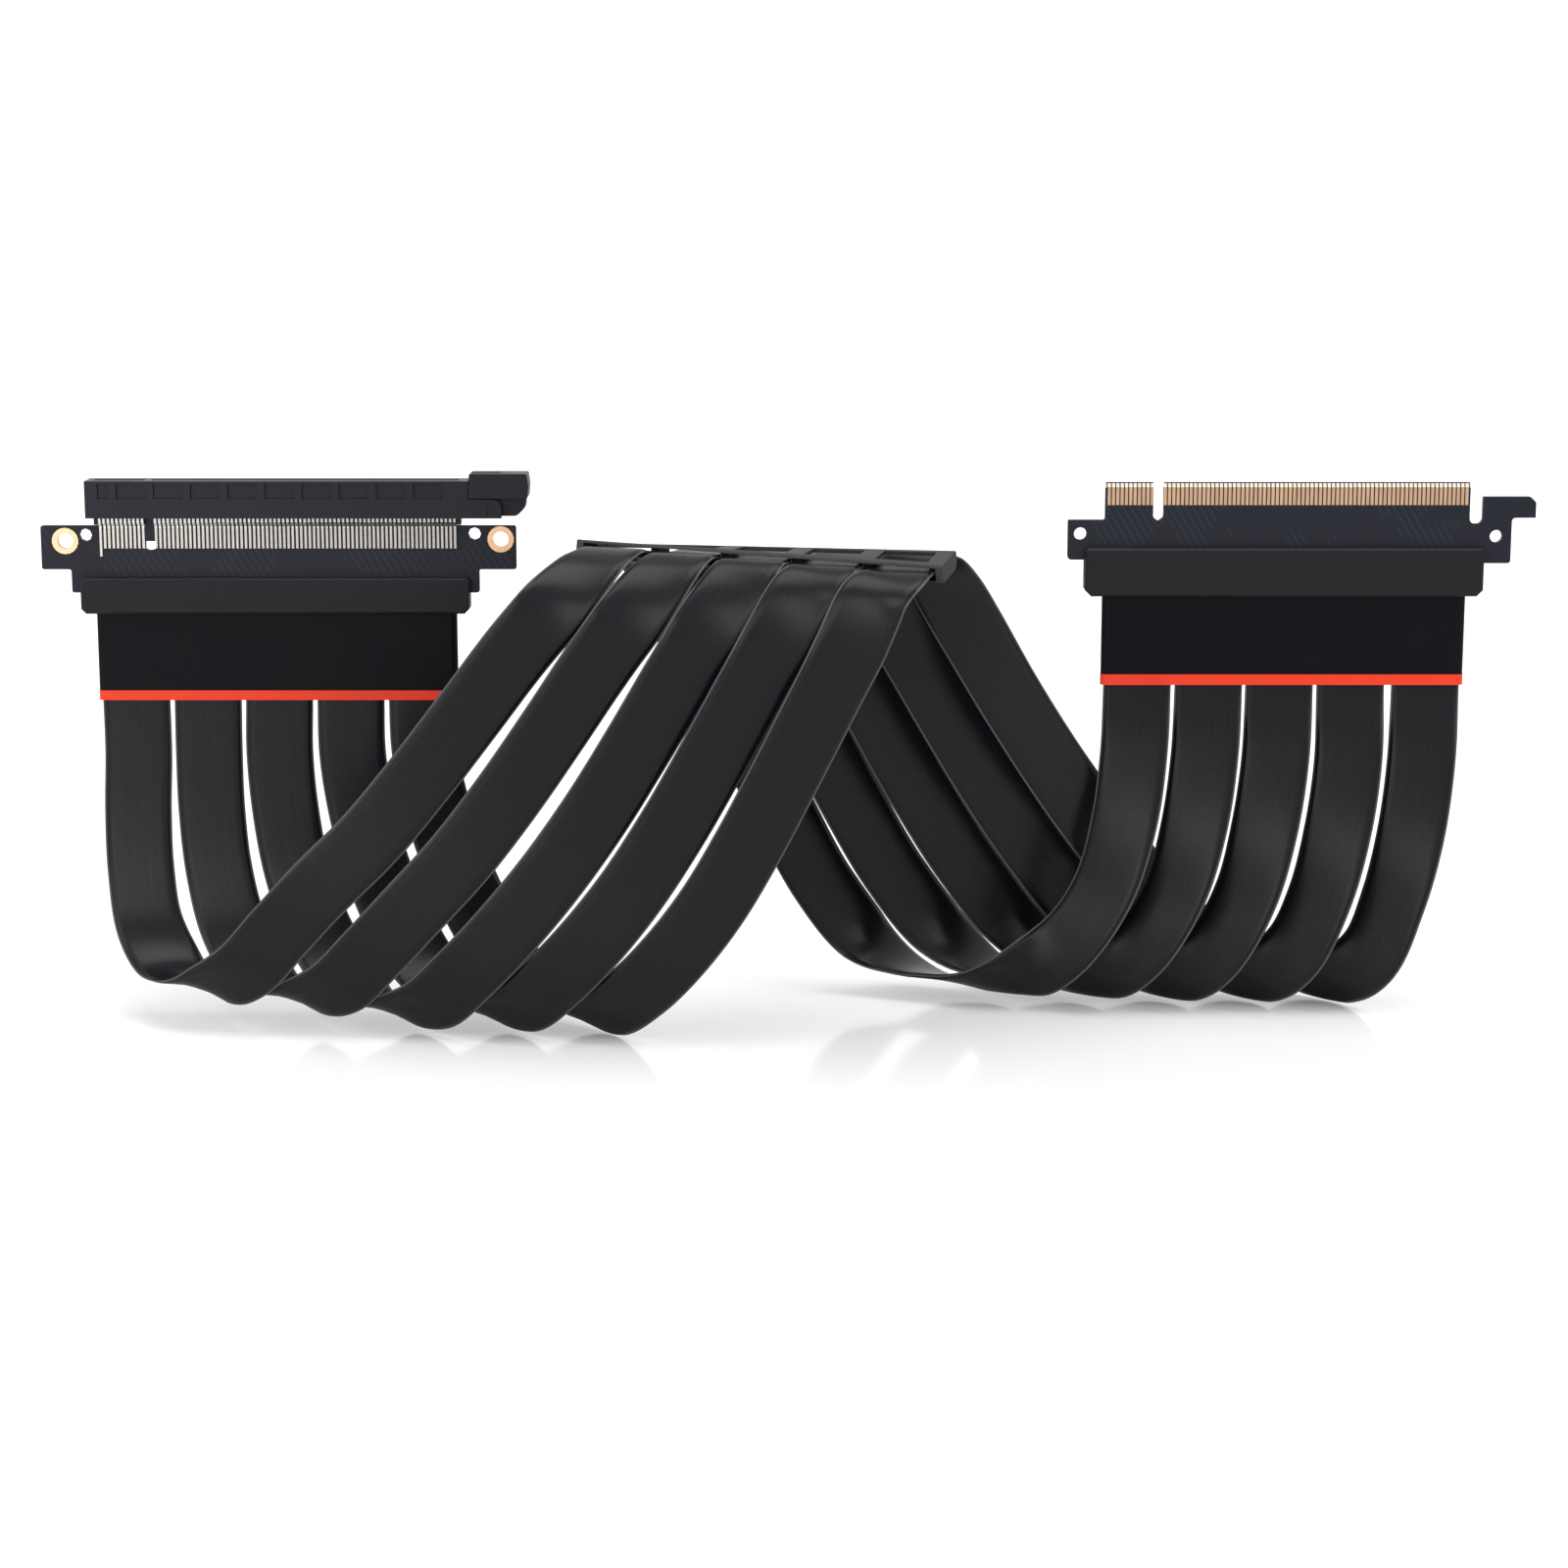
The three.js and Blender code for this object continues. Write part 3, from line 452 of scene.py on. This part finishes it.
def board(name, middle_y, fingers):
    f = Finish(name, Specular_IOR_Level=0.18)
    vector, (x, y, z) = f.place()
    deep = f.math("ABSOLUTE", f.math("SUBTRACT", y, middle_y))
    fine, cloudy = f.grain(vector, 1500, 90)
    slant = f.math("ADD", x, f.both(z, TRACE_SLANT))
    patch = f.over(f.noise(f.stretch(vector, (1, 0, 1)), 70, 1.0), 0.52)
    traces = f.both(f.under(f.math("PINGPONG", slant, TRACE_PITCH), TRACE_WIDE), patch)
    mask = f.mix(f.both(traces, 0.4), MASK_DARK, MASK_TRACE)
    mask = f.mix(f.ramp(cloudy, 0.35, 0.7, 0, 0.5), mask, MASK_CLOUD)
    colour = f.mix(f.over(deep, MASK_FROM), CUT_EDGE, mask)
    rough = f.ramp(cloudy, 0.3, 0.7, 0.42, 0.52)
    if fingers:
        proud = f.both(f.over(z, FINGERS_FROM), f.over(deep, PROUD_FROM))
        from_middle = f.math("PINGPONG", f.math("SUBTRACT", x, FIRST_FINGER), FINGER_HALF_PITCH)
        highlit_bevel = f.both(f.band(z, *HIGHLIT_BEVEL_Z), f.under(from_middle, FINGER_HALF))
        wear = f.noise(f.stretch(vector, (900, 900, 140)), 1.0, 3.0)
        colour = f.mix(proud, colour, f.mix(wear, PLATING, PLATING_WORN))
        # painted highlight: the bevel above the contacts gets a much paler plating colour
        colour = f.mix(highlit_bevel, colour, BEVEL_PAINTED_HIGHLIGHT)
        plated = f.math("MAXIMUM", proud, highlit_bevel)
        rough = f.blend(plated, rough, f.ramp(wear, 0.3, 0.7, 0.27, 0.4))
        f.metal(plated)
    f.colour(colour)
    f.rough(rough)
    f.bump(f.math("ADD", f.both(traces, 0.6), f.both(fine, 0.3)), 0.25, 0.04 * MM)
    return f.material


female_mask = board("female_board_mask", FEMALE_MIDDLE, False)
male_mask = board("male_board_mask", MALE_MIDDLE, True)
print("boards:", female_mask.name, male_mask.name)

# %% [markdown]
# ## Slot
# The housing is one black moulding, and its leads come out below it, tinned, with a painted highlight on the
# bend.
# They are part of the same solid, so a mask by height and depth tells them from the plastic. A second material
# would need the mesh to be cut, and the frame's meshes stay as they are.

# %% Slot finish
# the third entry is the height of the painted highlight on the leads' bend
LEADS_UNDER, SPINE_FROM, LEAD_BEND_HIGHLIGHT_Z = up(118.19), up(116.49), (up(115.9), up(117.25))
PEG_HALF, SPINE_HALF = 0.75 * MM, 1.52 * MM
# the second tin colour is a painted highlight for the bend at the shoulder
TIN, TIN_PAINTED_HIGHLIGHT, TIN_ROUGH = (0.42, 0.39, 0.36, 1), (0.93, 0.92, 0.9, 1), 0.3


def slot():
    f = plastic("slot_moulding", (0.0105, 0.0115, 0.0165), 0.36, 3000, 0.03, 0.25)
    _, (x, y, z) = f.place()
    deep = f.math("ABSOLUTE", f.math("SUBTRACT", y, FEMALE_MIDDLE))
    off_peg = f.over(deep, PEG_HALF)
    spine = f.both(f.over(z, SPINE_FROM), f.under(deep, SPINE_HALF))
    lead = f.both(f.both(f.under(z, LEADS_UNDER), off_peg), f.math("SUBTRACT", 1.0, spine))
    # painted highlight: a pale tin band where the leads bend at the shoulder
    f.colour(f.mix(lead, f.now("Base Color"), f.mix(f.band(z, *LEAD_BEND_HIGHLIGHT_Z), TIN, TIN_PAINTED_HIGHLIGHT)))
    f.rough(f.blend(lead, f.now("Roughness"), TIN_ROUGH))
    f.metal(lead)
    return f.material


moulding = slot()
print("slot:", moulding.name)

# %% [markdown]
# ## Plated rings
# The two screw holes are ringed with bare plated copper, pale and a little worn. One noise changes its colour,
# its gloss and its height.

# %% Ring finish
def plated(name, dark, light, rough):
    f = Finish(name, Metallic=1.0)
    worn = f.noise(f.place()[0], 700, 4.0)
    f.colour(f.mix(worn, dark + (1,), light + (1,)))
    f.rough(f.ramp(worn, 0.3, 0.7, rough - 0.06, rough + 0.08))
    f.bump(worn, 0.15, 0.03 * MM)
    return f.material


rings = plated("ring_copper", (0.62, 0.36, 0.2), (0.78, 0.52, 0.33), 0.32)
print("rings:", rings.name)

# %% [markdown]
# ## Each piece gets its finish
# The frame's pieces come with plain materials. Each one's list is emptied and its finish put in, which changes
# no shape.

# %% Finishes on the frame
FINISHES = {
    female_mask: ["female_board"], male_mask: ["male_board"], moulding: ["slot_housing"], latch: ["slot_latch"],
    rings: ["plated_ring_left", "plated_ring_right"],
    cover: ["female_cover_front", "female_cover_back", "male_cover_front", "male_cover_back"],
    sleeve: ["female_sleeve", "male_sleeve"], stripe: ["female_stripe", "male_stripe"], comb: ["cable_comb"],
}
for material, names in FINISHES.items():
    for name in names:
        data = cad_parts[name].data
        data.materials.clear()
        data.materials.append(material)
print("pieces finished:", sum(len(names) for names in FINISHES.values()))

# %% [markdown]
# ## Floor
# In the photograph the floor runs into a white surround, with a soft shadow and a faint mirror image at the
# feet. More light would wash out the cable, so the floor adds a little glow of its own for the camera alone,
# more of it further away, and keeps its shadow near the feet.

# %% Floor
SIDES, RADIUS, FLOOR_Z = 64, 7.0, -0.0002
GLOW, FAR_GLOW, GLOW_NEAR, GLOW_FAR = 0.14, 0.62, 0.22, 0.9
floor = bpy.data.objects.new("floor", bpy.data.meshes.new("floor"))
turns = [2 * math.pi * k / SIDES for k in range(SIDES)]
ring = [(RADIUS * math.cos(a), RADIUS * math.sin(a), FLOOR_Z) for a in turns]
floor.data.from_pydata(ring, [], [tuple(range(SIDES))])
bpy.context.scene.collection.objects.link(floor)

paint = Finish("floor_paint", Base_Color=(0.93, 0.93, 0.93, 1), Roughness=0.13, Emission_Color=(1, 1, 1, 1))
away = paint.node("ShaderNodeVectorMath", {0: paint.place()[0]}, operation="LENGTH").outputs["Value"]
glow = paint.ramp(away, GLOW_NEAR, GLOW_FAR, GLOW, FAR_GLOW)
seen = paint.node("ShaderNodeLightPath").outputs["Is Camera Ray"]
paint.put(paint.both(seen, glow), paint.shader.inputs["Emission Strength"])
floor.data.materials.append(paint.material)
print("floor", 2 * RADIUS, "m across, at height", FLOOR_Z)

# %% [markdown]
# ## Surround
# The world is white to the camera, in reflections and through clear things, and at half strength it lights the
# cable. One number for all rays would either grey the background or flood the black strands.

# %% World
FILL, WHITE = 0.5, 1.0
world = bpy.data.worlds.new("surround")
world.use_nodes = True
wires, links = world.node_tree.nodes, world.node_tree.links
background = wires["Background"]
background.inputs["Color"].default_value = (1, 1, 1, 1)
rays, level = wires.new("ShaderNodeLightPath"), wires.new("ShaderNodeMapRange")
level.inputs["To Min"].default_value, level.inputs["To Max"].default_value = FILL, WHITE
white_for = rays.outputs["Is Camera Ray"]
for ray in ("Is Glossy Ray", "Is Transmission Ray"):
    either = wires.new("ShaderNodeMath")
    either.operation = "MAXIMUM"
    links.new(white_for, either.inputs[0])
    links.new(rays.outputs[ray], either.inputs[1])
    white_for = either.outputs[0]
links.new(white_for, level.inputs["Value"])
links.new(level.outputs[0], background.inputs["Strength"])
bpy.context.scene.world = world
print("surround:", FILL, "on the cable,", WHITE, "to the eye")

# %% [markdown]
# ## Lamps
# A large soft lamp overhead makes the shadow and the light on the comb, one at each side draws the strands'
# edges, and a tall one in front gives the broad lights on their flats. All four point at the cable's middle.

# %% Lamps
AIM = Vector((0, 0, 0.06))
LAMPS = [  # name, place, width and height, watts
    ("overhead", (0.0, -0.15, 1.1), (0.9, 0.7), 8),
    ("front", (-0.5, -1.1, 0.4), (0.3, 0.8), 3),
    ("left", (-1.1, -0.7, 0.6), (0.5, 0.9), 5),
    ("right", (1.1, -0.6, 0.7), (0.5, 0.9), 5),
]
for name, place, (wide, high), watts in LAMPS:
    lamp = bpy.data.lights.new(name, "AREA")
    lamp.shape, lamp.size, lamp.size_y, lamp.energy = "RECTANGLE", wide, high, watts
    obj = bpy.data.objects.new(name, lamp)
    obj.location = place
    obj.rotation_euler = (AIM - Vector(place)).to_track_quat("-Z", "Y").to_euler()
    bpy.context.scene.collection.objects.link(obj)
print("lamps:", len(LAMPS))
